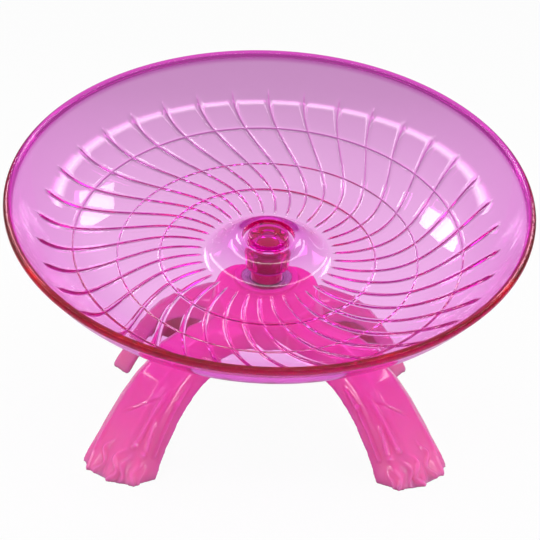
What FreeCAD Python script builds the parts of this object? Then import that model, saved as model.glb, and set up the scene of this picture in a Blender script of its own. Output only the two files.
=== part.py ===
import FreeCAD, Part

import math
import os

# Rodent exercise wheel: a clear running dish that spins on a ball bearing,
# leaning towards the front, over a hollow stand on four arched root-like legs.
# Lengths are in millimetres and angles in degrees. The ground is z = 0, up is +Z and the front is -Y.

V = FreeCAD.Vector
UP = V(0, 0, 1)
ORIGIN = V(0, 0, 0)

# Running dish. Its heights are measured along the axle from the top of its floor.
DISH_R = 90.0
DISH_WALL = 2.4
BEAD_R = 1.5
BEAD_STEPS = 4
RIM_RISE = 26.0
FLOOR_R = 42.5
BOWL_BANDS = 5
AXLE_LEAN = 20.0
FLOOR_HEIGHT = 61.0

# Raised hub in the middle of the dish, with a knob in a groove
HUB_R = 23.0
HUB_RISE = 8.0
HUB_STEPS = 3
HUB_INSET = 0.9
HUB_UNDER_STEPS = 1
LIP_R = 9.7
LIP_EDGE = 0.7
GROOVE_DEPTH = 2.0
KNOB_R = 7.0
KNOB_RISE = 8.8
KNOB_EDGE = 0.6
DIMPLE_R = 2.7
DIMPLE_DEPTH = 0.5
BOSS_DROP = 4.0

# Spiral ribs moulded on the running surface, from the hub up most of the wall
SPIRAL_COUNT = 36
SPIRAL_INNER_R = 23.8
SPIRAL_BANDS = 4
SPIRAL_SWEEP = 26.5
SPIRAL_WIDTH = 0.9
SPIRAL_RISE = 0.4
SPIRAL_ROOT = 0.8

# Ball bearing, 9 x 17 x 5, and the fits round it
BEARING_BORE_R = 4.5
BEARING_R = 8.5
BEARING_WIDTH = 5.0
BEARING_DROP = 9.3
INNER_RING_R = 5.6
OUTER_RING_BORE_R = 7.2
SHIELD_THICK = 0.3
SHIELD_RECESS = 0.2
SHIELD_CLEARANCE = 0.25
SEAT_CLEARANCE = 0.02

# Spindle, and the screw and washer that hold it in the bearing
SPINDLE_STEM_R = 4.2
SPINDLE_STEM_RISE = 4.0
SPINDLE_SHOULDER_R = 5.2
SPINDLE_END_GAP = 0.3
SCREW_R = 1.5
SCREW_LENGTH = 9.0
SCREW_HEAD_R = 2.8
SCREW_HEAD_RISE = 1.8
SCREW_HEAD_EDGE = 0.8
WASHER_R = 5.4
WASHER_THICK = 0.8

# Stand: a leaning trunk with a bearing collar, on four arched channel legs
STAND_WALL = 2.2
PLATEAU_DROP = 11.0
TRUNK_R = 22.5
TRUNK_TOP_R = 16.0
TRUNK_RISE = 26.0
COLLAR_R = 11.0
SEAT_LIP = 1.4
SEAT_FLOOR = 2.0
LEG_TOP_WIDTH = 20.0
LEG_FOOT_WIDTH = 28.0
LEG_TOP_DEPTH = 9.9
LEG_FOOT_DEPTH = 11.9
LEG_SQUARENESS = 3.0
LEG_FACES = 5
HOLLOW_SQUARENESS = 4.0
HOLLOW_FACES = 3
LEG_START = 15.5
LEG_SET_BACK = 6.5
FRONT_LEG_TURN = 42.0
REAR_LEG_TURN = 49.0
ARCH_HEIGHT = 31.5
ARCH_FOOT_R = 61.7
ARCH_UPPER_R = 39.8
ARCH_UPPER_TURN = 51.0
ARCH_UPPER_STEPS = 5
ARCH_LOWER_TURN = 9.0
ARCH_LOWER_STEPS = 2
FLUTE_COUNT = 3
FLUTE_PITCH = 8.5
FLUTE_WIDTH = 2.4
FLUTE_DEPTH = 0.6
FLUTE_LENGTH = 20.0
OVERLAP = 3.0

# Places that follow from the sizes above
HUB_SET_BACK = RIM_RISE * math.sin(math.radians(AXLE_LEAN))
BEARING_BASE = -BEARING_DROP - BEARING_WIDTH
WASHER_BASE = BEARING_BASE - WASHER_THICK
BORE_TOP = SPINDLE_STEM_RISE + SPINDLE_END_GAP
HUB_UNDER = HUB_RISE - GROOVE_DEPTH - DISH_WALL
BOWL_SPAN = DISH_R - BEAD_R - FLOOR_R
BOWL_DEPTH = RIM_RISE + DISH_WALL / 2.0
BOWL_MID_R = (BOWL_SPAN ** 2 + BOWL_DEPTH ** 2) / (2.0 * BOWL_DEPTH)
BOWL_IN_R = BOWL_MID_R - DISH_WALL / 2.0
BOWL_OUT_R = BOWL_MID_R + DISH_WALL / 2.0
BOWL_TOP_ANGLE = math.degrees(math.asin(BOWL_SPAN / BOWL_MID_R))


def sine(angle):
    return math.sin(math.radians(angle))


def cosine(angle):
    return math.cos(math.radians(angle))


def ease(u):
    """Blend from 0 to 1 that is level at both ends."""
    return u * u * (3.0 - 2.0 * u)


def spin(corners):
    """Solid of revolution about Z inside a loop of (radius, height) corners."""
    points = [V(r, 0, z) for r, z in corners + corners[:1]]
    return Part.Face(Part.makePolygon(points)).revolve(ORIGIN, UP, 360.0)


def tube(outer_r, inner_r, low, high):
    return spin([(inner_r, low), (outer_r, low), (outer_r, high), (inner_r, high)])


def rod(radius, low, high):
    return Part.makeCylinder(radius, high - low, V(0, 0, low))


def lean(shape):
    """Move a piece from the axle's own frame to its leaning place over the stand."""
    placed = shape.copy()
    placed.rotate(ORIGIN, V(1, 0, 0), AXLE_LEAN)
    placed.translate(V(0, HUB_SET_BACK, FLOOR_HEIGHT))
    return placed


def bowl_corner(radius, angle):
    """Corner on an arc about the bowl's centre of curvature, angle from straight down."""
    return (FLOOR_R + radius * sine(angle), BOWL_IN_R - radius * cosine(angle))


def bowl_bends():
    """Angles between the straight bands that follow the bowl's curve, from its floor to its rim."""
    return [BOWL_TOP_ANGLE * step / BOWL_BANDS for step in range(BOWL_BANDS + 1)]


def hub_flank(outer_r, inner_r, low, high, steps):
    """S-shaped flank of the raised hub, from its top to its foot."""
    flank = []
    for step in range(steps + 1):
        u = 1.0 - step / steps
        flank.append((outer_r + (inner_r - outer_r) * u, low + (high - low) * ease(u)))
    return flank


def knob_top():
    groove_r = LIP_R - LIP_EDGE
    floor = HUB_RISE - GROOVE_DEPTH
    return [
        (0, KNOB_RISE - DIMPLE_DEPTH),
        (DIMPLE_R - DIMPLE_DEPTH, KNOB_RISE - DIMPLE_DEPTH),
        (DIMPLE_R, KNOB_RISE),
        (KNOB_R - KNOB_EDGE, KNOB_RISE),
        (KNOB_R, KNOB_RISE - KNOB_EDGE),
        (KNOB_R, floor),
        (groove_r, floor),
        (groove_r, HUB_RISE - LIP_EDGE),
    ]


def rim_bead():
    """Rounded bead along the rim, from the inside of the wall over the top to the outside."""
    r, z = bowl_corner(BOWL_MID_R, BOWL_TOP_ANGLE)
    start = -math.degrees(math.acos(DISH_WALL / 2.0 / BEAD_R))
    bead = []
    for step in range(BEAD_STEPS + 1):
        turn = start + (180.0 - 2.0 * start) * step / BEAD_STEPS - BOWL_TOP_ANGLE
        bead.append((r + BEAD_R * sine(turn), z + BEAD_R * cosine(turn)))
    return bead


def dish_body():
    """Dish with its wall, floor, hub, knob and the boss that is bored for the spindle."""
    bore_r = SPINDLE_STEM_R + SEAT_CLEARANCE
    under_r = HUB_R - HUB_INSET
    under_lip_r = LIP_R - HUB_INSET
    top = knob_top() + hub_flank(HUB_R, LIP_R, 0.0, HUB_RISE, HUB_STEPS)
    inside = [bowl_corner(BOWL_IN_R, angle) for angle in bowl_bends()[:-1]]
    outside = [bowl_corner(BOWL_OUT_R, angle) for angle in bowl_bends()[:-1]]
    underside = hub_flank(under_r, under_lip_r, -DISH_WALL, HUB_UNDER, HUB_UNDER_STEPS)
    boss = [
        (KNOB_R, HUB_UNDER),
        (KNOB_R, -BOSS_DROP),
        (bore_r, -BOSS_DROP),
        (bore_r, BORE_TOP),
        (0, BORE_TOP),
    ]
    return spin(top + inside + rim_bead() + outside[::-1] + underside[::-1] + boss)


def spiral_stations():
    """Distance from the axle, height and slope of the running surface along a spiral."""
    middle_r = (SPIRAL_INNER_R + FLOOR_R) / 2.0
    stations = [(SPIRAL_INNER_R, 0.0, 0.0), (middle_r, 0.0, 0.0)]
    for angle in bowl_bends()[:SPIRAL_BANDS + 1]:
        r, z = bowl_corner(BOWL_IN_R, angle)
        stations.append((r, z, angle))
    return stations


def spiral_turn(r):
    outer_r, outer_z = bowl_corner(BOWL_IN_R, bowl_bends()[SPIRAL_BANDS])
    return SPIRAL_SWEEP * ease((r - SPIRAL_INNER_R) / (outer_r - SPIRAL_INNER_R))


def spiral_rib():
    """One ridge on the running surface, lofted through a triangle at each station."""
    half_root = SPIRAL_WIDTH / 2.0 * (SPIRAL_RISE + SPIRAL_ROOT) / SPIRAL_RISE
    stations = spiral_stations()
    turns = [spiral_turn(r) for r, z, slope in stations]
    path = [V(r * cosine(turn), r * sine(turn), z) for (r, z, slope), turn in zip(stations, turns)]
    sections = []
    for number, (r, z, slope) in enumerate(stations):
        before, after = path[max(number - 1, 0)], path[min(number + 1, len(path) - 1)]
        turn = turns[number]
        outward = V(-sine(slope) * cosine(turn), -sine(slope) * sine(turn), cosine(slope))
        across = outward.cross(after - before).normalize()
        root = path[number] - outward * SPIRAL_ROOT
        crest = path[number] + outward * SPIRAL_RISE
        corners = [root - across * half_root, root + across * half_root, crest]
        sections.append(Part.makePolygon(corners + corners[:1]))
    return Part.makeLoft(sections, True, True)


def running_disc():
    ribs = []
    first = spiral_rib()
    for number in range(SPIRAL_COUNT):
        rib = first.copy()
        rib.rotate(ORIGIN, UP, number * 360.0 / SPIRAL_COUNT)
        ribs.append(rib)
    return dish_body().multiFuse(ribs)


def spindle():
    """Stepped pin: stem in the dish's boss, shoulder on the bearing and journal through it."""
    journal_r = BEARING_BORE_R - SEAT_CLEARANCE
    end = BEARING_BASE + SPINDLE_END_GAP
    return spin([
        (SCREW_R, end),
        (journal_r, end),
        (journal_r, -BEARING_DROP),
        (SPINDLE_SHOULDER_R, -BEARING_DROP),
        (SPINDLE_SHOULDER_R, -BOSS_DROP),
        (SPINDLE_STEM_R, -BOSS_DROP),
        (SPINDLE_STEM_R, SPINDLE_STEM_RISE),
        (0, SPINDLE_STEM_RISE),
        (0, BEARING_BASE + SCREW_LENGTH),
        (SCREW_R, BEARING_BASE + SCREW_LENGTH),
    ])


def bearing_outer_ring():
    return tube(BEARING_R, OUTER_RING_BORE_R, BEARING_BASE, -BEARING_DROP)


def bearing_inner_ring():
    return tube(INNER_RING_R, BEARING_BORE_R, BEARING_BASE, -BEARING_DROP)


def bearing_shield(low):
    """Thin plate held in the outer ring that stops just short of the inner ring."""
    return tube(OUTER_RING_BORE_R, INNER_RING_R + SHIELD_CLEARANCE, low, low + SHIELD_THICK)


def spindle_washer():
    return tube(WASHER_R, SCREW_R, WASHER_BASE, BEARING_BASE)


def spindle_screw():
    """Pan-head screw, head down."""
    return spin([
        (0, WASHER_BASE - SCREW_HEAD_RISE),
        (SCREW_HEAD_R - SCREW_HEAD_EDGE, WASHER_BASE - SCREW_HEAD_RISE),
        (SCREW_HEAD_R, WASHER_BASE - SCREW_HEAD_RISE + SCREW_HEAD_EDGE),
        (SCREW_HEAD_R, WASHER_BASE),
        (SCREW_R, WASHER_BASE),
        (SCREW_R, BEARING_BASE + SCREW_LENGTH),
        (0, BEARING_BASE + SCREW_LENGTH),
    ])


def leg_arch():
    """Centres of a leg's upper and lower bends, and the larger radius of the lower one."""
    turn = ARCH_UPPER_TURN
    end = ARCH_UPPER_TURN + ARCH_LOWER_TURN
    drop = ARCH_HEIGHT - ARCH_UPPER_R * (1.0 - cosine(turn))
    lower_r = drop / (cosine(turn) - cosine(end))
    upper_x = ARCH_FOOT_R - ARCH_UPPER_R * sine(turn) - lower_r * (sine(end) - sine(turn))
    upper = V(upper_x, 0, ARCH_HEIGHT - ARCH_UPPER_R)
    lower = upper + V(sine(turn), 0, cosine(turn)) * (ARCH_UPPER_R - lower_r)
    return upper, lower, lower_r


def leg_turns():
    """Turns at a leg's sections: round the upper bend, down the lower one and on below the ground."""
    upper, lower, lower_r = leg_arch()
    past_ground = math.degrees(2.0 * LEG_FOOT_DEPTH / lower_r)
    turns = [ARCH_UPPER_TURN * step / ARCH_UPPER_STEPS for step in range(ARCH_UPPER_STEPS)]
    for step in range(ARCH_LOWER_STEPS + 1):
        turns.append(ARCH_UPPER_TURN + ARCH_LOWER_TURN * step / ARCH_LOWER_STEPS)
    return turns + [turns[-1] + past_ground]


def leg_station(turn):
    """Point on a leg's underside, its outward direction and its share of the way to the ground."""
    upper, lower, lower_r = leg_arch()
    outward = V(sine(turn), 0, cosine(turn))
    bent = math.radians(min(turn, ARCH_UPPER_TURN)) * ARCH_UPPER_R
    eased = math.radians(max(turn - ARCH_UPPER_TURN, 0.0)) * lower_r
    length = math.radians(ARCH_UPPER_TURN) * ARCH_UPPER_R + math.radians(ARCH_LOWER_TURN) * lower_r
    centre, radius = (upper, ARCH_UPPER_R) if turn < ARCH_UPPER_TURN else (lower, lower_r)
    return centre + outward * radius, outward, (bent + eased) / length


def leg_section(place, outward, share, inset):
    """Outline across a leg, which widens to its foot, or of the hollow that runs out of its open side."""
    half_width = (LEG_TOP_WIDTH + (LEG_FOOT_WIDTH - LEG_TOP_WIDTH) * share) / 2.0 - inset
    depth = LEG_TOP_DEPTH + (LEG_FOOT_DEPTH - LEG_TOP_DEPTH) * share - inset
    power = 2.0 / (HOLLOW_SQUARENESS if inset else LEG_SQUARENESS)
    faces = HOLLOW_FACES if inset else LEG_FACES
    points = []
    for step in range(faces + 1):
        swing = 180.0 * step / faces
        across = half_width * math.copysign(abs(cosine(swing)) ** power, cosine(swing))
        points.append(place + V(0, across, 0) + outward * (depth * abs(sine(swing)) ** power))
    if inset:
        points.append(points[-1] - outward * OVERLAP)
        points.append(points[0] - outward * OVERLAP)
    return Part.makePolygon(points + points[:1])


def leg(inset):
    """Leg running out along +X: level at the trunk, then bent down in two arcs, ending below the ground."""
    sections = [leg_section(V(LEG_START - inset, 0, ARCH_HEIGHT), UP, 0.0, inset)]
    for turn in leg_turns():
        place, outward, share = leg_station(turn)
        sections.append(leg_section(place, outward, share, inset))
    return Part.makeLoft(sections, True, True)


def foot_flutes():
    """Straight V grooves between the roots at a leg's foot, running out of its curved outer face above."""
    upper, lower, lower_r = leg_arch()
    face_r = lower_r + LEG_FOOT_DEPTH
    ground_angle = math.degrees(math.acos(-lower.z / face_r))
    low_angle = ground_angle + math.degrees(OVERLAP / face_r)
    high_angle = ground_angle - math.degrees(FLUTE_LENGTH / face_r)
    down = V(sine(low_angle), 0, cosine(low_angle))
    up = V(sine(high_angle), 0, cosine(high_angle))
    depth = down * FLUTE_DEPTH
    half_width = V(0, FLUTE_WIDTH, 0)
    flutes = []
    for number in range(FLUTE_COUNT):
        across = V(0, (number - (FLUTE_COUNT - 1) / 2.0) * FLUTE_PITCH, 0)
        start = lower + down * face_r + across
        end = lower + up * (face_r + FLUTE_DEPTH) + across
        corners = [start - depth, start + depth + half_width, start + depth - half_width]
        flutes.append(Part.Face(Part.makePolygon(corners + corners[:1])).extrude(end - start))
    return flutes


def around_stand(shapes):
    """Copies of one leg's shapes at every leg: two reach forward and two back, alike left and right."""
    copies = []
    for turn in (-FRONT_LEG_TURN, REAR_LEG_TURN, 180.0 - REAR_LEG_TURN, 180.0 + FRONT_LEG_TURN):
        for shape in shapes:
            copy = shape.copy()
            copy.rotate(ORIGIN, UP, turn)
            copy.translate(V(0, LEG_SET_BACK, 0))
            copies.append(copy)
    return copies


def trunk(inset):
    """Tapering trunk from the top of the arches to the leaning plateau, or the hollow inside it."""
    base = V(0, HUB_SET_BACK, ARCH_HEIGHT)
    cone = Part.makeCone(TRUNK_R - inset, TRUNK_TOP_R - inset, TRUNK_RISE, base)
    above = Part.makeBox(DISH_R, DISH_R, TRUNK_RISE, V(-DISH_R / 2.0, -DISH_R / 2.0, -PLATEAU_DROP - inset))
    return cone.cut(lean(above))


def stand():
    """Shell of four channel legs and a trunk, with a collar bored for the bearing and level with its top."""
    seat_low = BEARING_BASE - SEAT_FLOOR
    shell = trunk(0.0).multiFuse(around_stand([leg(0.0)]))
    hollows = [trunk(STAND_WALL)] + around_stand([leg(STAND_WALL)])
    ground = Part.makeBox(2 * DISH_R, 2 * DISH_R, DISH_R, V(-DISH_R, HUB_SET_BACK - DISH_R, -DISH_R))
    for tool in hollows + [ground] + around_stand(foot_flutes()):
        shell = shell.cut(tool)
    collar = lean(rod(COLLAR_R, seat_low, -BEARING_DROP))
    bore = lean(rod(BEARING_R + SEAT_CLEARANCE, BEARING_BASE, OVERLAP - BEARING_DROP))
    way_through = lean(rod(BEARING_R - SEAT_LIP, seat_low - OVERLAP, BEARING_BASE + OVERLAP))
    return shell.fuse(collar).cut(bore).cut(way_through)


def save(name, shape):
    shape.exportStep(os.path.join("parts", name + ".step"))


def main():
    os.makedirs("parts", exist_ok=True)
    save("running_disc", lean(running_disc()))
    save("spindle", lean(spindle()))
    save("bearing_outer_ring", lean(bearing_outer_ring()))
    save("bearing_inner_ring", lean(bearing_inner_ring()))
    save("bearing_top_shield", lean(bearing_shield(-BEARING_DROP - SHIELD_RECESS - SHIELD_THICK)))
    save("bearing_bottom_shield", lean(bearing_shield(BEARING_BASE + SHIELD_RECESS)))
    save("spindle_washer", lean(spindle_washer()))
    save("spindle_screw", lean(spindle_screw()))
    save("stand", stand())


main()
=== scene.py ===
"""Looks of a rodent exercise wheel: a clear pink running dish on a bearing, over a four-legged stand."""

import math

import bpy
import numpy as np
from mathutils import Matrix, Vector


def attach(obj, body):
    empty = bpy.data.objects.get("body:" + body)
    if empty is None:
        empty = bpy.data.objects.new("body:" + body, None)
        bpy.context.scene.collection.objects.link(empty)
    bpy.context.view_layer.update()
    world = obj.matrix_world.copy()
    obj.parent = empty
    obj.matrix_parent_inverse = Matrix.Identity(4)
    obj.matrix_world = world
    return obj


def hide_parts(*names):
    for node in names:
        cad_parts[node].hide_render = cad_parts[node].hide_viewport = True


MM = 0.001

# Running dish, in millimetres in the axle's own frame: heights are from the running floor
DISH_R = 89.85
DISH_WALL = 2.4
FLOOR_WALL = 1.9
BEAD_R = 1.4
RIM_RISE = 26.0
FLOOR_R = 42.5
AXLE_LEAN = 20.0
FLOOR_HEIGHT = 61.0
HUB_R = 23.0
HUB_RISE = 8.0
HUB_INSET = 0.5
HUB_WALL = 1.5
LIP_R = 9.7
LIP_EDGE = 0.7
GROOVE_DEPTH = 2.0
KNOB_R = 7.0
KNOB_RISE = 8.8
KNOB_EDGE = 0.7
DIMPLE_R = 2.7
DIMPLE_DEPTH = 0.5
CORNER_R = 0.35
BOSS_DROP = 4.0
BORE_R = 4.22
BORE_TOP = 4.3
FILLET_STEPS = 5
FLANK_STEPS = 22
BEAD_STEPS = 20
ROW_STEP = 1.3

# Shares of the deep dye on the parts of the dish. The ridges' share is painted shade that darkens them
# into lines, and the dimple's smaller share is painted light that makes it paler than the knob
BOSS_DYE = 1.0
BEAD_DYE = 0.52
RIDGE_PAINTED_SHADE = 0.3
KNOB_DYE = 0.6
DIMPLE_PAINTED_LIGHT = 0.2

# Ridges on the running surface
SPIRAL_COUNT = 36
SPIRAL_INNER_R = 23.4
SPIRAL_OUTER_R = 79.0
SPIRAL_SWEEP = 26.5
SPIRAL_START = 3.0
SPIRAL_WIDTH = 0.85
SPIRAL_RISE = 0.5
SPIRAL_FADE = 0.6
SPIRAL_COLUMNS = 5
GAP_COLUMNS = 6
RING_RADII = (37.6, 52.3, 67.4)
RING_WIDTH = 0.85
RING_RISE = 0.4
RING_ROWS = 7

# Keeps rows of one radius apart where the slant of the spirals is worked out
ROW_NUDGE = 1e-9

# Stand, in millimetres: fineness of its skin, softening of its corners, and the collar that is kept
# sharp, which is measured in the axle's own frame
STAND_VOXEL = 0.5
STAND_SMOOTHING = 12
SMOOTHING_SHARE = 0.5
SOLE_HEIGHT = 0.4
COLLAR_KEEP_R = 13.0
COLLAR_KEEP_LOW = -17.5
COLLAR_KEEP_HIGH = -8.5

# Legs, in millimetres and degrees, which bend down in two arcs and widen to their feet
LEG_TOP_WIDTH = 20.0
LEG_FOOT_WIDTH = 28.0
LEG_TOP_DEPTH = 9.9
LEG_FOOT_DEPTH = 11.9
LEG_SQUARENESS = 3.0
LEG_SET_BACK = 6.5
FRONT_LEG_TURN = 42.0
REAR_LEG_TURN = 49.0
ARCH_HEIGHT = 31.5
ARCH_FOOT_R = 61.7
ARCH_UPPER_R = 39.8
ARCH_UPPER_TURN = 51.0
ARCH_LOWER_TURN = 9.0

# Turn of each leg in degrees, and the sign of the side of it that faces its neighbour
LEGS = (
    (-FRONT_LEG_TURN, -1.0),
    (REAR_LEG_TURN, 1.0),
    (180.0 - REAR_LEG_TURN, -1.0),
    (180.0 + FRONT_LEG_TURN, 1.0),
)

# Bark on the legs. Heights are up the outer face from the ground; girth is in degrees round the leg
# from the middle of that face, towards the side that faces its neighbour.
LOBE_PITCH = 8.5
LOBE_RISE = 0.8
LOBE_LENGTH = 16.0
GIRTH_STEP = 0.24
ROOT_WAVE = 9.0
ROOT_RISE = 0.9
ROOT_WIDTH = 1.2
ROOTS = (
    # top, girth at the top, foot, girth at the foot, sway
    (46.0, 67.0, 14.0, 71.0, 0.0),
    (39.0, 44.0, 15.0, 38.0, 0.0),
    (30.0, 43.0, 15.0, 54.0, 0.0),
    (22.0, -25.0, 0.0, -25.0, 0.0),
    (17.0, -4.0, 0.0, -6.0, 5.0),
    (15.0, 22.0, 0.0, 23.0, 5.0),
    (14.0, 35.0, 0.0, 34.0, 4.0),
    (12.0, 50.0, 0.0, 53.0, 4.0),
    (11.0, 61.0, 0.0, 63.0, 3.0),
)
KNOTS = ((14.5, 37.0), (13.0, 53.0), (34.0, 66.0))
KNOT_R = 1.5
KNOT_RISE = 0.9
CREASE_LOW = 21.0
CREASE_LOW_GIRTH = -20.0
CREASE_HIGH = 34.0
CREASE_HIGH_GIRTH = 48.0
CREASE_DEPTH = 0.6
CREASE_WIDTH = 0.9

# Share of the way out to a leg's outline at which the bark begins, and over which it grows to its height
BARK_START = 0.9
BARK_BLEND = 0.05

# Shared by the materials: most values of a noise texture lie in its range
NOISE_RANGE = (0.3, 0.7)
NOISE_DETAIL = 3.0
FULL_RANGE = (0.0, 1.0)
WHITE = (1.0, 1.0, 1.0)
PLASTIC_IOR = 1.49

# Clear plastic of the dish: its colour with no dye, its darker colour at a ridge, which is painted shade,
# and with all the dye, the tint inside it and the share of lamplight that passes through it
CLEAR_PALE = (0.98, 0.96, 0.98)
CLEAR_RIDGE_SHADE = (0.84, 0.26, 0.74)
CLEAR_DEEP = (0.70, 0.008, 0.46)
CLEAR_TINT = (0.98, 0.03, 0.905)
CLEAR_DENSITY = 320.0
CLEAR_SHADOW = (0.96, 0.96, 0.96)
HAZE_SCALE = 90.0
HAZE_ROUGHNESS = (0.0, 0.05)

# Milky plastic of the stand, with heights and depths in metres
MILKY_FOOT = (0.83, 0.17, 0.40)
MILKY_TOP = (0.80, 0.075, 0.41)
MILKY_HEIGHTS = (0.004, 0.045)
MILKY_SCATTER = 0.9
MILKY_SCATTER_RADII = (1.0, 0.5, 0.8)
MILKY_SCATTER_DEPTH = 0.006
CLOUD_SCALE = 60.0
CLOUD_DRIFT = 0.012
GRAIN_SCALE = 900.0
GRAIN_ROUGHNESS = (0.07, 0.15)
GRAIN_STRENGTH = 0.06
GRAIN_DEPTH = 0.0001

# Red plastic of the spindle
CORE_DARK = (0.58, 0.004, 0.14)
CORE_BRIGHT = (0.68, 0.008, 0.20)
CORE_SCALE = 160.0
CORE_ROUGHNESS = (0.2, 0.35)

# Turned steel of the bearing, its shields and the screw
STEEL_BLUE = 1.02
MARKS_SCALE = 1500.0
MARKS_STRENGTH = 0.1
MARKS_DEPTH = 0.00005
STEELS = (
    # finish, tone, range of roughness, pieces
    ("bearing_steel", 0.62, (0.15, 0.28), ("bearing_outer_ring", "bearing_inner_ring")),
    ("shield_steel", 0.45, (0.25, 0.4), ("bearing_top_shield", "bearing_bottom_shield")),
    ("screw_steel", 0.55, (0.2, 0.35), ("spindle_screw", "spindle_washer")),
)

# Camera, worked out from the dish's outline in the photograph
CAMERA_AZIMUTH = -2.08
CAMERA_ELEVATION = 19.36
CAMERA_ROLL = 1.85
CAMERA_DISTANCE = 639.9
CAMERA_TARGET = (2.48, 50.0, 40.54)
CAMERA_LENS = 113.6
CAMERA_SENSOR = 36.0

# White background: its light grows as its direction rises between two heights, and its plain white
# is seen by the camera, mirrored and through clear plastic in these shares
SKY_HEIGHTS = (0.64, 0.76)
SKY_STRENGTHS = (0.15, 0.5)
SKY_SEEN = 1.0
SKY_MIRRORED = 0.05
SKY_THROUGH = 0.3

# Floor, in metres: its plain white is seen in these shares, and through clear plastic in a share that
# falls between two distances to the back, which is painted shade that darkens the floor towards the back
FLOOR_HALF = 4.0
FLOOR_TONE = (0.52, 0.52, 0.52)
FLOOR_ROUGHNESS = 0.9
FLOOR_SEEN = 0.96
FLOOR_MIRRORED = 0.1
FLOOR_BACK = (0.08, 0.5)
FLOOR_THROUGH = (0.85, 0.1)

# Most turns that light takes between surfaces
LIGHT_BOUNCES = 32

# Band of light round the front and sides, in metres and degrees
RING_LIGHT_R = 0.75
RING_LIGHT_HEIGHT = 0.73
RING_LIGHT_TILT = 0.191
RING_LIGHT_DEPTH = 0.15
RING_LIGHT_SPAN = 134.0
RING_LIGHT_STEPS = 48
RING_LIGHT_STRENGTH = 9.0

# Soft lamps, in metres and watts
LAMP_AIM = (0.0, 0.0, 0.07)
SOFTBOXES = (
    # name, place, width, height, power, whether the plastic mirrors it
    ("overhead", (0.0, -0.31, 0.97), 1.5, 0.88, 6.8, False),
    ("right_box", (0.43, 0.40, 0.88), 0.25, 0.25, 1.5, True),
    ("left_box", (-0.33, 0.47, 0.89), 0.18, 0.28, 1.5, True),
    ("front_fill", (0.0, -1.1, 0.7), 0.9, 0.6, 1.2, False),
)
LEG_KEY_OUT = 0.8
LEG_KEY_FRONT = 0.5
LEG_KEY_HEIGHT = 0.22
LEG_KEY_WIDTH = 0.06
LEG_KEY_LENGTH = 0.45
LEG_KEY_POWER = 1.8

# Places that follow from the sizes above
HUB_SET_BACK = RIM_RISE * math.sin(math.radians(AXLE_LEAN))
GROOVE_FLOOR = HUB_RISE - GROOVE_DEPTH
HUB_UNDER = GROOVE_FLOOR - HUB_WALL
BOWL_SPAN = DISH_R - BEAD_R - FLOOR_R
BOWL_DEPTH = RIM_RISE + DISH_WALL / 2.0
BOWL_MID_R = (BOWL_SPAN ** 2 + BOWL_DEPTH ** 2) / (2.0 * BOWL_DEPTH)
BOWL_IN_R = BOWL_MID_R - DISH_WALL / 2.0
BOWL_OUT_R = BOWL_MID_R + DISH_WALL / 2.0
BOWL_TOP = math.asin(BOWL_SPAN / BOWL_MID_R)
BEAD_START = math.acos(DISH_WALL / 2.0 / BEAD_R)
FLOOR_RUN = FLOOR_R - HUB_R
AXLE = Matrix.Translation(Vector((0.0, HUB_SET_BACK, FLOOR_HEIGHT)) * MM) @ Matrix.Rotation(
    math.radians(AXLE_LEAN), 4, "X"
)


def ease(u):
    """Blend from 0 to 1 that is level at both ends."""
    u = np.clip(u, 0.0, 1.0)
    return u * u * (3.0 - 2.0 * u)


def bump(t):
    """Rounded ridge, 1 in its middle and level with its ground at -1 and 1."""
    return np.where(np.abs(t) < 1.0, np.cos(np.pi / 2.0 * np.clip(t, -1.0, 1.0)) ** 2, 0.0)


def rounded(corners):
    """Outline through (radius, height, rounding) corners, with a curve at each rounded one."""
    points = []
    for number, (r, z, rounding) in enumerate(corners):
        here = np.array((r, z))
        if not rounding or number in (0, len(corners) - 1):
            points.append(here)
            continue
        before = np.array(corners[number - 1][:2]) - here
        after = np.array(corners[number + 1][:2]) - here
        before = before / np.linalg.norm(before)
        after = after / np.linalg.norm(after)
        half = math.acos(np.clip(before @ after, -1.0, 1.0)) / 2.0
        reach = rounding / math.tan(half)
        start, end = here + before * reach, here + after * reach
        for step in range(FILLET_STEPS + 1):
            u = step / FILLET_STEPS
            points.append((1.0 - u) ** 2 * start + 2.0 * u * (1.0 - u) * here + u * u * end)
    return points


def hub_flank(outer_r, inner_r, low, high):
    """S-shaped flank of the raised hub, from its top to its foot."""
    u = np.linspace(1.0, 0.0, FLANK_STEPS + 1)
    return list(zip(outer_r + (inner_r - outer_r) * u, low + (high - low) * ease(u)))


def knob_outline():
    """Dimple, knob and the groove round it, from the axle out to the lip of the hub."""
    groove_r = LIP_R - LIP_EDGE
    dimple = KNOB_RISE - DIMPLE_DEPTH
    return rounded([
        (0.0, dimple, 0.0),
        (DIMPLE_R - DIMPLE_DEPTH, dimple, CORNER_R / 2.0),
        (DIMPLE_R, KNOB_RISE, CORNER_R / 2.0),
        (KNOB_R, KNOB_RISE, KNOB_EDGE),
        (KNOB_R, GROOVE_FLOOR, CORNER_R),
        (groove_r, GROOVE_FLOOR, CORNER_R),
        (groove_r, HUB_RISE, CORNER_R),
        (LIP_R, HUB_RISE, 0.0),
    ])


def outside_wall():
    """Arc of the wall's outer face, from the bead down to the thinner floor."""
    angles = np.linspace(bead_angle(BOWL_OUT_R), 0.0, FLANK_STEPS + 1)
    thinning = (DISH_WALL - FLOOR_WALL) * ease(np.linspace(0.0, 1.0, FLANK_STEPS + 1))
    r = FLOOR_R + BOWL_OUT_R * np.sin(angles)
    z = BOWL_IN_R - BOWL_OUT_R * np.cos(angles) + thinning
    return list(zip(r, z))


def bead_outline():
    """Round bead on the rim, from the inner face of the wall over to the outer one."""
    r = FLOOR_R + BOWL_MID_R * math.sin(BOWL_TOP)
    z = BOWL_IN_R - BOWL_MID_R * math.cos(BOWL_TOP)
    turns = np.linspace(-BEAD_START, math.pi + BEAD_START, BEAD_STEPS + 1) - BOWL_TOP
    return list(zip(r + BEAD_R * np.sin(turns), z + BEAD_R * np.cos(turns)))


def bead_angle(radius):
    """Angle at which an arc of the wall runs into the bead."""
    return BOWL_TOP - math.asin(BEAD_R * math.sin(BEAD_START) / radius)


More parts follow.
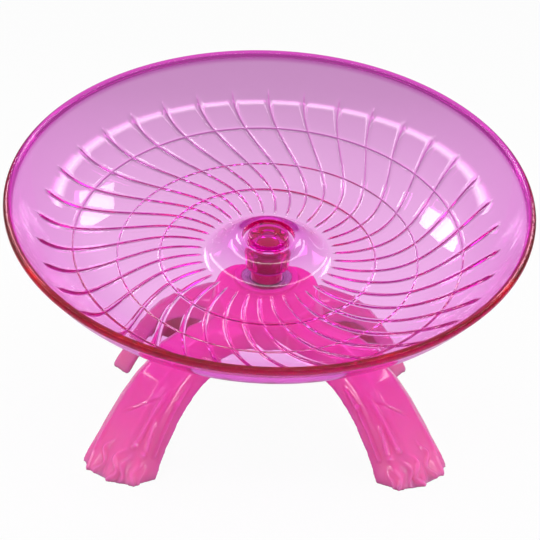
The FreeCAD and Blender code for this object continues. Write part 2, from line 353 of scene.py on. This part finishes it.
def boss_outline():
    """Boss under the hub and its bore, from the hub in to the axle."""
    return rounded([
        (LIP_R - HUB_INSET, HUB_UNDER, 0.0),
        (KNOB_R, HUB_UNDER, CORNER_R),
        (KNOB_R, -BOSS_DROP, CORNER_R),
        (BORE_R, -BOSS_DROP, 0.0),
        (BORE_R, BORE_TOP, 0.0),
        (0.0, BORE_TOP, 0.0),
    ])


def ring_runs():
    """Distances along the running surface, from the hub's foot, at which the ring ridges lie."""
    runs = []
    for r in RING_RADII:
        climb = math.asin(max(r - FLOOR_R, 0.0) / BOWL_IN_R)
        runs.append(min(r, FLOOR_R) - HUB_R + BOWL_IN_R * climb)
    return runs


def running_rows():
    """Radius, height, slope and ring height of each row on the running surface."""
    end = FLOOR_RUN + BOWL_IN_R * bead_angle(BOWL_IN_R)
    runs = [np.arange(ROW_STEP, end, ROW_STEP)]
    for run in ring_runs():
        runs.append(run + np.linspace(-1.0, 1.0, RING_ROWS) * RING_WIDTH / 2.0)
    run = np.unique(np.concatenate(runs))
    slope = np.maximum(run - FLOOR_RUN, 0.0) / BOWL_IN_R
    r = HUB_R + np.minimum(run, FLOOR_RUN) + BOWL_IN_R * np.sin(slope)
    z = BOWL_IN_R * (1.0 - np.cos(slope))
    ring = sum(RING_RISE * bump((run - middle) / (RING_WIDTH / 2.0)) for middle in ring_runs())
    return r, z, slope, ring


def dish_outline():
    """Radius and height of each row of the dish's skin, and its rows on the run, the bead and the boss."""
    top = knob_outline()[:-1] + hub_flank(HUB_R, LIP_R, 0.0, HUB_RISE)
    run_r, run_z, _, _ = running_rows()
    bead = bead_outline()
    below = hub_flank(HUB_R - HUB_INSET, LIP_R - HUB_INSET, -FLOOR_WALL, HUB_UNDER)[::-1]
    boss = boss_outline()[1:]
    r, z = np.array(top + list(zip(run_r, run_z)) + bead + outside_wall()[1:] + below + boss).T
    on_run = slice(len(top), len(top) + len(run_r))
    on_bead = slice(on_run.stop, on_run.stop + len(bead))
    on_boss = slice(len(r) - len(boss), len(r))
    return r, z, on_run, on_bead, on_boss


def spiral_turn(r):
    """Angle by which a spiral ridge has turned at a radius."""
    return math.radians(SPIRAL_SWEEP) * ease((r - SPIRAL_INNER_R) / (SPIRAL_OUTER_R - SPIRAL_INNER_R))


def dish_columns(r):
    """Angles of the columns at each row, gathered on the spirals, and each one's share of their height."""
    near = np.clip(r, SPIRAL_INNER_R, SPIRAL_OUTER_R)
    lead = np.gradient(spiral_turn(near), near + np.arange(len(near)) * ROW_NUDGE) * near
    lead = np.where((r > SPIRAL_INNER_R) & (r < SPIRAL_OUTER_R), np.nan_to_num(lead), 0.0)
    half = SPIRAL_WIDTH / 2.0 / near * np.sqrt(1.0 + lead ** 2)
    pitch = 2.0 * math.pi / SPIRAL_COUNT
    across = np.linspace(-1.0, 1.0, SPIRAL_COLUMNS)
    between = np.linspace(0.0, 1.0, GAP_COLUMNS + 2)[1:-1]
    on_ridge = half[:, None] * across
    in_gap = half[:, None] + (pitch - 2.0 * half)[:, None] * between
    cell = np.concatenate([on_ridge, in_gap], axis=1)
    share = np.concatenate([bump(across), np.zeros(GAP_COLUMNS)])
    starts = pitch * np.arange(SPIRAL_COUNT)
    angles = (cell[:, None, :] + starts[None, :, None]).reshape(len(r), -1)
    return angles, np.tile(share, SPIRAL_COUNT)


def ridges(r, on_run, share):
    """Slope of the skin at each row, and how far the ridges stand up from it at each row and column."""
    slope, ring, rise = np.zeros((3, len(r)))
    _, _, slope[on_run], ring[on_run] = running_rows()
    starting = ease((r[on_run] - SPIRAL_INNER_R) / SPIRAL_FADE)
    ending = ease((SPIRAL_OUTER_R - r[on_run]) / SPIRAL_FADE)
    rise[on_run] = SPIRAL_RISE * (starting * ending)
    return slope, np.maximum(rise[:, None] * share, ring[:, None])


def dye_and_painted_light_shares(r, z, lift, on_bead, on_boss):
    """Share of the deep dye at each row and column of the dish's skin, with painted shade on the ridges
    and painted light in the dimple.
    """
    above_groove = z > GROOVE_FLOOR
    dye_and_painted_light = np.where((r <= KNOB_R) & above_groove, KNOB_DYE, 0.0)
    # The dimple gets less than the knob round it: painted light that makes it paler
    dye_and_painted_light[(r < DIMPLE_R) & above_groove] = DIMPLE_PAINTED_LIGHT
    dye_and_painted_light[on_bead] = BEAD_DYE
    dye_and_painted_light[on_boss] = BOSS_DYE
    # Ridges and rings get painted shade in step with their height, which darkens them into lines
    return np.maximum(dye_and_painted_light[:, None], RIDGE_PAINTED_SHADE * lift / SPIRAL_RISE)


def dish_mesh():
    """Closed skin of the dish: one outline turned about the axle, with ridges on the running surface."""
    r, z, on_run, on_bead, on_boss = dish_outline()
    angles, share = dish_columns(r)
    turn = spiral_turn(r)
    turn[on_run.stop:] = math.radians(SPIRAL_SWEEP)
    angles = angles + turn[:, None] + math.radians(SPIRAL_START)
    slope, lift = ridges(r, on_run, share)
    out = r[:, None] - np.sin(slope)[:, None] * lift
    up = z[:, None] + np.cos(slope)[:, None] * lift
    mesh = skin("dish", np.stack([out * np.cos(angles), out * np.sin(angles), up], axis=2) * MM)
    # Attribute of the deep dye, with painted shade on the ridges and painted light in the dimple
    dye_and_painted_light = skin_points(dye_and_painted_light_shares(r, z, lift, on_bead, on_boss))
    mesh.attributes.new("dye_and_painted_light", "FLOAT", "POINT").data.foreach_set("value", dye_and_painted_light)
    return mesh


def skin_points(grid):
    """Values of a grid in the order of its skin's points: the first and last rows are one point each."""
    return np.concatenate([grid[0, :1], grid[1:-1].reshape(-1, *grid.shape[2:]), grid[-1, :1]])


def skin(name, grid):
    """Mesh of a grid of rows that close on themselves, whose first and last rows shrink to a point."""
    middle_rows = grid.shape[0] - 2
    columns = grid.shape[1]
    vertices = skin_points(grid)
    end = len(vertices) - 1
    faces = []
    for column in range(columns):
        beside = (column + 1) % columns
        faces.append((0, 1 + column, 1 + beside))
        faces.append((end, end - columns + beside, end - columns + column))
        for row in range(middle_rows - 1):
            low, high = 1 + row * columns, 1 + (row + 1) * columns
            faces.append((low + column, high + column, high + beside, low + beside))
    mesh = bpy.data.meshes.new(name)
    mesh.from_pydata(vertices, [], faces)
    mesh.shade_smooth()
    mesh.update()
    return mesh


def add_object(name, data):
    """New object in the scene."""
    made = bpy.data.objects.new(name, data)
    bpy.context.scene.collection.objects.link(made)
    return made


def build_dish(material):
    """Running dish, set on the leaning axle."""
    mesh = dish_mesh()
    mesh.transform(AXLE)
    mesh.materials.append(material)
    dish = add_object("dish", mesh)
    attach(dish, "disc")
    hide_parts("running_disc")


def apply_modifiers(made):
    """Turn an object's modifiers into its mesh."""
    depsgraph = bpy.context.evaluated_depsgraph_get()
    mesh = bpy.data.meshes.new_from_object(made.evaluated_get(depsgraph))
    made.modifiers.clear()
    made.data = mesh


def mesh_points(mesh):
    """Places of a mesh's points, one row each."""
    points = np.empty(len(mesh.vertices) * 3)
    mesh.vertices.foreach_get("co", points)
    return points.reshape(-1, 3)


def free_share(points):
    """1 where a point of the stand may be smoothed, 0 on the bearing's collar."""
    axle = np.array(AXLE.inverted())
    local = points @ axle[:3, :3].T + axle[:3, 3]
    near = np.hypot(local[:, 0], local[:, 1]) < COLLAR_KEEP_R * MM
    level = (local[:, 2] > COLLAR_KEEP_LOW * MM) & (local[:, 2] < COLLAR_KEEP_HIGH * MM)
    return np.where(near & level, 0.0, 1.0)


def smooth_stand(mesh):
    """Soften the corners where legs and trunk meet, with the collar left as it is and the soles level."""
    points = mesh_points(mesh)
    edges = np.empty(len(mesh.edges) * 2, int)
    mesh.edges.foreach_get("vertices", edges)
    first, second = edges[0::2], edges[1::2]
    count = np.bincount(edges, minlength=len(points))
    share = free_share(points)
    sole = points[:, 2] < SOLE_HEIGHT * MM
    for _ in range(STAND_SMOOTHING):
        total = np.zeros_like(points)
        np.add.at(total, first, points[second])
        np.add.at(total, second, points[first])
        step = (total / count[:, None] - points) * share[:, None]
        step[sole, 2] = 0.0
        points = points + step * SMOOTHING_SHARE
    mesh.vertices.foreach_set("co", points.ravel())
    mesh.update()


def leg_arcs():
    """Centres of a leg's upper and lower bends in its own frame, as (x, z), and the lower one's radius."""
    turn = math.radians(ARCH_UPPER_TURN)
    end = math.radians(ARCH_UPPER_TURN + ARCH_LOWER_TURN)
    drop = ARCH_HEIGHT - ARCH_UPPER_R * (1.0 - math.cos(turn))
    lower_r = drop / (math.cos(turn) - math.cos(end))
    upper_x = ARCH_FOOT_R - ARCH_UPPER_R * math.sin(turn) - lower_r * (math.sin(end) - math.sin(turn))
    upper = np.array((upper_x, ARCH_HEIGHT - ARCH_UPPER_R))
    lower = upper + np.array((math.sin(turn), math.cos(turn))) * (ARCH_UPPER_R - lower_r)
    return upper, lower, lower_r


def leg_frame(points):
    """Points in the frame of the leg they are nearest to, with the side that faces its neighbour positive."""
    local = []
    for turn, hand in LEGS:
        angle = math.radians(turn)
        x, y = points[:, 0], points[:, 1] - LEG_SET_BACK
        along = x * math.cos(angle) + y * math.sin(angle)
        across = (y * math.cos(angle) - x * math.sin(angle)) * hand
        local.append(np.stack([along, across, points[:, 2]], axis=1))
    local = np.array(local)
    nearest = local[:, :, 0].argmax(axis=0)
    return local[nearest, np.arange(len(points))]


def leg_place(points):
    """Height up the leg's outer face, place across it, girth in degrees and share of the bark."""
    local = leg_frame(points)
    upper, lower, lower_r = leg_arcs()
    bend = math.radians(ARCH_UPPER_TURN)
    face_r = lower_r + LEG_FOOT_DEPTH
    ground = math.acos(-lower[1] / face_r)
    from_upper = local[:, [0, 2]] - upper
    from_lower = local[:, [0, 2]] - lower
    upper_turn = np.arctan2(from_upper[:, 0], from_upper[:, 1])
    lower_turn = np.arctan2(from_lower[:, 0], from_lower[:, 1])
    low = upper_turn > bend
    out = np.where(low, np.hypot(*from_lower.T) - lower_r, np.hypot(*from_upper.T) - ARCH_UPPER_R)
    shin = (ground - np.maximum(lower_turn, bend)) * face_r
    height = shin + np.maximum(bend - upper_turn, 0.0) * (ARCH_UPPER_R + LEG_TOP_DEPTH) * ~low
    run = np.where(low, bend * ARCH_UPPER_R + (lower_turn - bend) * lower_r, upper_turn * ARCH_UPPER_R)
    share = run / (bend * ARCH_UPPER_R + math.radians(ARCH_LOWER_TURN) * lower_r)
    across = local[:, 1] / (LEG_TOP_WIDTH + (LEG_FOOT_WIDTH - LEG_TOP_WIDTH) * share) * 2.0
    outward = np.maximum(out, 0.0) / (LEG_TOP_DEPTH + (LEG_FOOT_DEPTH - LEG_TOP_DEPTH) * share)
    size = (np.abs(across) ** LEG_SQUARENESS + outward ** LEG_SQUARENESS) ** (1.0 / LEG_SQUARENESS)
    girth = np.degrees(np.arctan2(across, outward))
    return height, local[:, 1], girth, ease((size - BARK_START) / BARK_BLEND)


def bark(height, across, girth):
    """Height of the moulded bark: lobes and wavy roots at the foot, long ridges, knots and a crease."""
    relief = -LOBE_RISE * np.cos(2.0 * np.pi * across / LOBE_PITCH) * ease(1.0 - height / LOBE_LENGTH)
    for number, (top, top_girth, foot, foot_girth, sway) in enumerate(ROOTS):
        u = (height - foot) / (top - foot)
        wave = sway * np.sin(2.0 * np.pi * height / ROOT_WAVE + number)
        middle = foot_girth + (top_girth - foot_girth) * u + wave
        ends = ease((top - height) / ROOT_WAVE) * ease((height - foot + ROOT_WIDTH) / ROOT_WIDTH)
        relief += ROOT_RISE * ends * bump((girth - middle) * GIRTH_STEP / ROOT_WIDTH)
    for knot_height, knot_girth in KNOTS:
        away = np.hypot(height - knot_height, (girth - knot_girth) * GIRTH_STEP)
        relief += KNOT_RISE * bump(away / KNOT_R)
    u = (girth - CREASE_LOW_GIRTH) / (CREASE_HIGH_GIRTH - CREASE_LOW_GIRTH)
    line = CREASE_LOW + (CREASE_HIGH - CREASE_LOW) * u
    return relief - CREASE_DEPTH * bump(2.0 * u - 1.0) * bump((height - line) / CREASE_WIDTH)


def carve_bark(mesh):
    """Raise the bark on the outside of the legs, with nothing below the ground."""
    points = mesh_points(mesh)
    normals = np.empty(len(mesh.vertices) * 3)
    mesh.vertex_normals.foreach_get("vector", normals)
    height, across, girth, outside = leg_place(points / MM)
    relief = bark(height, across, girth) * outside * MM
    points = points + normals.reshape(-1, 3) * relief[:, None]
    points[:, 2] = np.maximum(points[:, 2], 0.0)
    mesh.vertices.foreach_set("co", points.ravel())
    mesh.update()


def build_stand(solid, material):
    """Stand with softened corners and bark, made from a copy of its solid."""
    stand = add_object("pink_stand", solid.data.copy())
    remesh = stand.modifiers.new("even", "REMESH")
    remesh.mode = "VOXEL"
    remesh.voxel_size = STAND_VOXEL * MM
    apply_modifiers(stand)
    smooth_stand(stand.data)
    carve_bark(stand.data)
    stand.data.shade_smooth()
    stand.data.materials.clear()
    stand.data.materials.append(material)
    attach(stand, "stand")
    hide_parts("stand")
    return stand


def opaque(colour):
    """Colour with nothing seen through it."""
    return (*colour, 1.0)


def new_material(name):
    """New material, its node tree and its main shader."""
    material = bpy.data.materials.new(name)
    material.use_nodes = True
    tree = material.node_tree
    return material, tree, tree.nodes["Principled BSDF"]


def set_output(tree, kind, source):
    """Give a material its surface or its inside."""
    tree.links.new(source, tree.nodes["Material Output"].inputs[kind])


def noise(tree, scale):
    """Cloudy values that stay with the object, finer at a larger scale."""
    place = tree.nodes.new("ShaderNodeTexCoord")
    texture = tree.nodes.new("ShaderNodeTexNoise")
    texture.inputs["Scale"].default_value = scale
    texture.inputs["Detail"].default_value = NOISE_DETAIL
    tree.links.new(place.outputs["Object"], texture.inputs["Vector"])
    return texture.outputs["Fac"]


def spread(tree, source, given, wanted):
    """Stretch values from a given range to a wanted one, and hold them at its ends."""
    stretch = tree.nodes.new("ShaderNodeMapRange")
    for side, (low, high) in (("From", given), ("To", wanted)):
        stretch.inputs[side + " Min"].default_value = low
        stretch.inputs[side + " Max"].default_value = high
    tree.links.new(source, stretch.inputs["Value"])
    return stretch.outputs["Result"]


def coordinate(tree, vector, axis):
    """One coordinate of a place or a direction."""
    split = tree.nodes.new("ShaderNodeSeparateXYZ")
    tree.links.new(vector, split.inputs["Vector"])
    return split.outputs[axis]


def colour_by(tree, shader, source, low, high):
    """Colour a shader from low to high as the source goes from 0 to 1."""
    ramp = tree.nodes.new("ShaderNodeValToRGB")
    ramp.color_ramp.elements[0].color = opaque(low)
    ramp.color_ramp.elements[1].color = opaque(high)
    tree.links.new(source, ramp.inputs["Fac"])
    tree.links.new(ramp.outputs["Color"], shader.inputs["Base Color"])
    return ramp.color_ramp


def roughen(tree, shader, source, wanted):
    """Let a noise texture vary a shader's roughness."""
    tree.links.new(spread(tree, source, NOISE_RANGE, wanted), shader.inputs["Roughness"])


def add_bump(tree, shader, source, strength, depth):
    """Fine relief from a texture."""
    relief = tree.nodes.new("ShaderNodeBump")
    relief.inputs["Strength"].default_value = strength
    relief.inputs["Distance"].default_value = depth
    tree.links.new(source, relief.inputs["Height"])
    tree.links.new(relief.outputs["Normal"], shader.inputs["Normal"])


def mix_shaders(tree, share, first, second):
    """The first shader, with the second in its place by a share."""
    mix = tree.nodes.new("ShaderNodeMixShader")
    tree.links.new(share, mix.inputs["Fac"])
    tree.links.new(first, mix.inputs[1])
    tree.links.new(second, mix.inputs[2])
    return mix.outputs["Shader"]


def let_lamps_through(tree, shader):
    """Let lamplight pass through clear plastic to what stands behind it."""
    path = tree.nodes.new("ShaderNodeLightPath")
    clear = tree.nodes.new("ShaderNodeBsdfTransparent")
    clear.inputs["Color"].default_value = opaque(CLEAR_SHADOW)
    mixed = mix_shaders(tree, path.outputs["Is Shadow Ray"], shader.outputs["BSDF"], clear.outputs["BSDF"])
    set_output(tree, "Surface", mixed)


def clear_pink():
    """Clear dyed plastic: pale lilac where it is thin and crimson where light runs a long way in it."""
    material, tree, shader = new_material("clear_pink")
    share = tree.nodes.new("ShaderNodeAttribute")
    share.attribute_name = "dye_and_painted_light"
    ramp = colour_by(tree, shader, share.outputs["Fac"], CLEAR_PALE, CLEAR_DEEP)
    # Ramp stop for the painted shade on the ridges
    ramp.elements.new(RIDGE_PAINTED_SHADE).color = opaque(CLEAR_RIDGE_SHADE)
    shader.inputs["Transmission Weight"].default_value = 1.0
    shader.inputs["IOR"].default_value = PLASTIC_IOR
    roughen(tree, shader, noise(tree, HAZE_SCALE), HAZE_ROUGHNESS)
    tint = tree.nodes.new("ShaderNodeVolumeAbsorption")
    tint.inputs["Color"].default_value = opaque(CLEAR_TINT)
    tint.inputs["Density"].default_value = CLEAR_DENSITY
    set_output(tree, "Volume", tint.outputs["Volume"])
    let_lamps_through(tree, shader)
    return material


def stand_pink():
    """Milky hot pink plastic that lets some light into it, paler towards the feet."""
    material, tree, shader = new_material("stand_pink")
    shader.inputs["Subsurface Weight"].default_value = MILKY_SCATTER
    shader.inputs["Subsurface Radius"].default_value = MILKY_SCATTER_RADII
    shader.inputs["Subsurface Scale"].default_value = MILKY_SCATTER_DEPTH
    shader.inputs["IOR"].default_value = PLASTIC_IOR
    place = tree.nodes.new("ShaderNodeTexCoord")
    drift = tree.nodes.new("ShaderNodeMath")
    drift.operation = "MULTIPLY_ADD"
    drift.inputs[1].default_value = CLOUD_DRIFT
    tree.links.new(noise(tree, CLOUD_SCALE), drift.inputs[0])
    tree.links.new(coordinate(tree, place.outputs["Object"], "Z"), drift.inputs[2])
    level = spread(tree, drift.outputs[0], MILKY_HEIGHTS, FULL_RANGE)
    colour_by(tree, shader, level, MILKY_FOOT, MILKY_TOP)
    grain = noise(tree, GRAIN_SCALE)
    roughen(tree, shader, grain, GRAIN_ROUGHNESS)
    add_bump(tree, shader, grain, GRAIN_STRENGTH, GRAIN_DEPTH)
    return material


def core_red():
    """Deep red plastic, a little cloudy."""
    material, tree, shader = new_material("core_red")
    cloud = noise(tree, CORE_SCALE)
    colour_by(tree, shader, cloud, CORE_DARK, CORE_BRIGHT)
    roughen(tree, shader, cloud, CORE_ROUGHNESS)
    return material


def steel(name, tone, roughness):
    """Steel with fine marks."""
    material, tree, shader = new_material(name)
    shader.inputs["Base Color"].default_value = opaque((tone, tone, tone * STEEL_BLUE))
    shader.inputs["Metallic"].default_value = 1.0
    marks = noise(tree, MARKS_SCALE)
    roughen(tree, shader, marks, roughness)
    add_bump(tree, shader, marks, MARKS_STRENGTH, MARKS_DEPTH)
    return material


def dress(node, material):
    """Give a piece its finish."""
    node.data.materials.clear()
    node.data.materials.append(material)


def dress_nodes(nodes):
    """Give the pieces whose solids are shown their finishes."""
    dress(nodes["spindle"], core_red())
    for name, tone, roughness, pieces in STEELS:
        material = steel(name, tone, roughness)
        for piece in pieces:
            dress(nodes[piece], material)


def set_camera():
    """Camera that sees the object as the photograph does."""
    azimuth, elevation = math.radians(CAMERA_AZIMUTH), math.radians(CAMERA_ELEVATION)
    roll = math.radians(CAMERA_ROLL)
    level = math.cos(elevation)
    back = Vector((math.sin(azimuth) * level, -math.cos(azimuth) * level, math.sin(elevation)))
    right = (-back).cross(Vector((0.0, 0.0, 1.0))).normalized()
    up = right.cross(-back)
    rolled_right = right * math.cos(roll) + up * math.sin(roll)
    rolled_up = up * math.cos(roll) - right * math.sin(roll)
    data = bpy.data.cameras.new("camera")
    data.lens = CAMERA_LENS
    data.sensor_width = CAMERA_SENSOR
    camera = add_object("camera", data)
    place = Matrix((rolled_right, rolled_up, back)).transposed().to_4x4()
    place.translation = (Vector(CAMERA_TARGET) + back * CAMERA_DISTANCE) * MM
    camera.matrix_world = place
    bpy.context.scene.camera = camera


def background_share(tree, seen, mirrored, through):
    """Share of plain white that a background shows straight, mirrored and through clear plastic."""
    path = tree.nodes.new("ShaderNodeLightPath")
    shares = {"Is Camera Ray": seen, "Is Glossy Ray": mirrored, "Is Transmission Ray": through}
    total = None
    for kind, share in shares.items():
        part = tree.nodes.new("ShaderNodeMath")
        part.operation = "MULTIPLY_ADD"
        part.inputs[2].default_value = 0.0
        if isinstance(share, float):
            part.inputs[1].default_value = share
        else:
            tree.links.new(share, part.inputs[1])
        tree.links.new(path.outputs[kind], part.inputs[0])
        if total:
            tree.links.new(total, part.inputs[2])
        total = part.outputs[0]
    return total


def set_world():
    """White for the camera, and a plain light that is brighter from above."""
    world = bpy.data.worlds.new("studio")
    bpy.context.scene.world = world
    world.use_nodes = True
    tree = world.node_tree
    light = tree.nodes["Background"]
    light.inputs["Color"].default_value = opaque(WHITE)
    place = tree.nodes.new("ShaderNodeTexCoord")
    height = coordinate(tree, place.outputs["Generated"], "Z")
    tree.links.new(spread(tree, height, SKY_HEIGHTS, SKY_STRENGTHS), light.inputs["Strength"])
    shown = tree.nodes.new("ShaderNodeBackground")
    shown.inputs["Color"].default_value = opaque(WHITE)
    shown.inputs["Strength"].default_value = 1.0
    share = background_share(tree, SKY_SEEN, SKY_MIRRORED, SKY_THROUGH)
    mixed = mix_shaders(tree, share, light.outputs["Background"], shown.outputs["Background"])
    tree.links.new(mixed, tree.nodes["World Output"].inputs["Surface"])


def floor_material():
    """Matt pale floor that shows mostly plain white, and through clear plastic less of it to the back as
    painted shade.
    """
    material, tree, shader = new_material("floor")
    shader.inputs["Base Color"].default_value = opaque(FLOOR_TONE)
    shader.inputs["Roughness"].default_value = FLOOR_ROUGHNESS
    glow = tree.nodes.new("ShaderNodeEmission")
    glow.inputs["Color"].default_value = opaque(WHITE)
    glow.inputs["Strength"].default_value = 1.0
    place = tree.nodes.new("ShaderNodeNewGeometry")
    # Painted shade: seen through clear plastic, the floor darkens towards the back
    through = spread(tree, coordinate(tree, place.outputs["Position"], "Y"), FLOOR_BACK, FLOOR_THROUGH)
    share = background_share(tree, FLOOR_SEEN, FLOOR_MIRRORED, through)
    mixed = mix_shaders(tree, share, shader.outputs["BSDF"], glow.outputs["Emission"])
    set_output(tree, "Surface", mixed)
    return material


def set_floor():
    """Studio floor that fades into the white background and keeps a soft shadow."""
    signs = ((-1.0, -1.0), (1.0, -1.0), (1.0, 1.0), (-1.0, 1.0))
    corners = [(x * FLOOR_HALF, y * FLOOR_HALF, 0.0) for x, y in signs]
    mesh = bpy.data.meshes.new("floor")
    mesh.from_pydata(corners, [], [tuple(range(len(corners)))])
    mesh.materials.append(floor_material())
    add_object("floor", mesh)


def softbox(name, place, width, height, power):
    """Rectangular lamp aimed at the object and not seen by the camera."""
    data = bpy.data.lights.new(name, "AREA")
    data.shape = "RECTANGLE"
    data.size = width
    data.size_y = height
    data.energy = power
    lamp = add_object(name, data)
    lamp.location = place
    lamp.rotation_euler = (Vector(LAMP_AIM) - Vector(place)).to_track_quat("-Z", "Y").to_euler()
    lamp.visible_camera = False
    return lamp


def ring_light_mesh():
    """Band round the front and sides, higher in front, that glows along its middle and fades to its edges."""
    turns = np.radians(np.linspace(-RING_LIGHT_SPAN, RING_LIGHT_SPAN, RING_LIGHT_STEPS + 1))
    middle = np.stack([
        RING_LIGHT_R * np.sin(turns),
        -RING_LIGHT_R * np.cos(turns),
        RING_LIGHT_HEIGHT + RING_LIGHT_TILT * np.cos(turns),
    ], axis=1)
    lift = np.array((0.0, 0.0, RING_LIGHT_DEPTH / 2.0))
    vertices = np.concatenate([middle - lift, middle, middle + lift])
    count = len(turns)
    faces = []
    for row in (0, count):
        for step in range(RING_LIGHT_STEPS):
            low = row + step
            faces.append((low, low + 1, low + 1 + count, low + count))
    mesh = bpy.data.meshes.new("ring_light")
    mesh.from_pydata(vertices, [], faces)
    glow = np.repeat((0.0, RING_LIGHT_STRENGTH, 0.0), count)
    mesh.attributes.new("glow", "FLOAT", "POINT").data.foreach_set("value", glow)
    return mesh


def ring_light():
    """Band of light that the wall of the dish mirrors."""
    material, tree, _ = new_material("ring_light")
    emission = tree.nodes.new("ShaderNodeEmission")
    strength = tree.nodes.new("ShaderNodeAttribute")
    strength.attribute_name = "glow"
    tree.links.new(strength.outputs["Fac"], emission.inputs["Strength"])
    set_output(tree, "Surface", emission.outputs["Emission"])
    mesh = ring_light_mesh()
    mesh.materials.append(material)
    lamp = add_object("ring_light", mesh)
    lamp.visible_camera = False
    lamp.visible_shadow = False


def set_light_paths():
    """Let light run round inside the clear wall often enough to reach the rim."""
    paths = bpy.context.scene.cycles
    paths.max_bounces = LIGHT_BOUNCES
    paths.glossy_bounces = LIGHT_BOUNCES
    paths.transmission_bounces = LIGHT_BOUNCES


def light_legs(stand):
    """Narrow lamp low on each side that lights the stand alone."""
    legs = bpy.data.collections.new("legs")
    legs.objects.link(stand)
    for side in (-1.0, 1.0):
        place = (side * LEG_KEY_OUT, -LEG_KEY_FRONT, LEG_KEY_HEIGHT)
        key = softbox("leg_key", place, LEG_KEY_WIDTH, LEG_KEY_LENGTH, LEG_KEY_POWER)
        key.light_linking.receiver_collection = legs


def set_lights(stand):
    """Soft light from above and in front, a band round the dish, two boxes behind and lamps for the legs."""
    for name, place, width, height, power, mirrored in SOFTBOXES:
        lamp = softbox(name, place, width, height, power)
        lamp.visible_glossy = mirrored
        lamp.visible_transmission = mirrored
    ring_light()
    light_legs(stand)


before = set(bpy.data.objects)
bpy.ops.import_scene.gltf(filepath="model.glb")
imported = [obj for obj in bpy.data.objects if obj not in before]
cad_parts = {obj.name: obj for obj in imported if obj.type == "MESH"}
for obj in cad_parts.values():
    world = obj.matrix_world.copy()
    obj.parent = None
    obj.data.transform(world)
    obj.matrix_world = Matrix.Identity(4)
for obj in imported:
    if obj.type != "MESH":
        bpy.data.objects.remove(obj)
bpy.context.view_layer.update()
bpy.context.scene.view_settings.view_transform = "Standard"
set_light_paths()
build_dish(clear_pink())
stand = build_stand(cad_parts["stand"], stand_pink())
dress_nodes(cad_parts)
set_camera()
set_world()
set_floor()
set_lights(stand)
